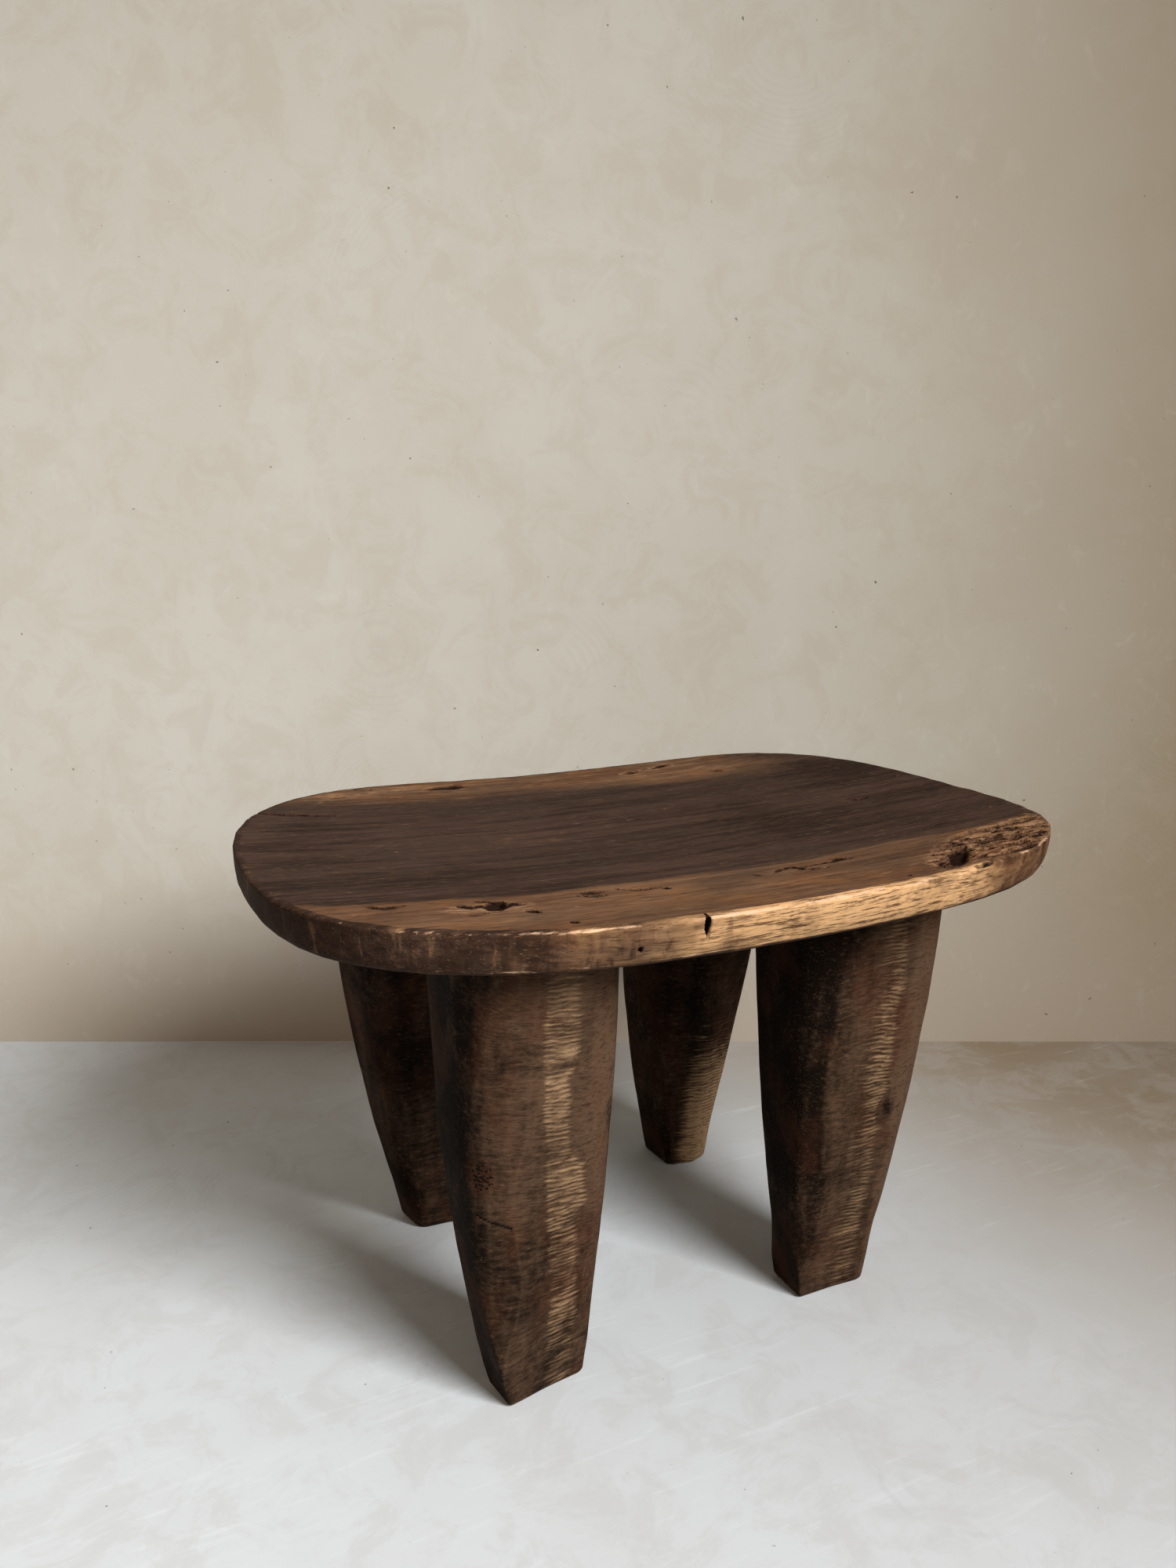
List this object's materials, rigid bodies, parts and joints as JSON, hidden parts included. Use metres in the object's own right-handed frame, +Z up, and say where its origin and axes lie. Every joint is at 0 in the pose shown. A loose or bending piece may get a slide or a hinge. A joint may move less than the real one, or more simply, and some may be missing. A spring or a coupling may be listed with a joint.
{
  "type": "carved wooden stool",
  "caption": "Low carved wooden stool with a dished rounded-rectangular seat slab on stout tapered legs, hewn from one block and worn with age.",
  "frame": {"origin": "on the floor, under the middle of the seat's bounding box", "axes": "+X along the seat's length and the wood's grain, to the viewer's right when the two front legs are nearest; +Y across the seat to the back; +Z up"},
  "size_m": [0.46, 0.33, 0.289],
  "materials": {
    "seat_wood": "worn, rubbed and dry, dark heartwood with paler sapwood along both long edges",
    "leg_wood": "hewn flats with a dark handled patina"
  },
  "bodies": {
    "root": {"seat": "seat_wood", "leg_front_left": "leg_wood", "leg_front_right": "leg_wood", "leg_back_left": "leg_wood", "leg_back_right": "leg_wood"}
  },
  "joints": []
}
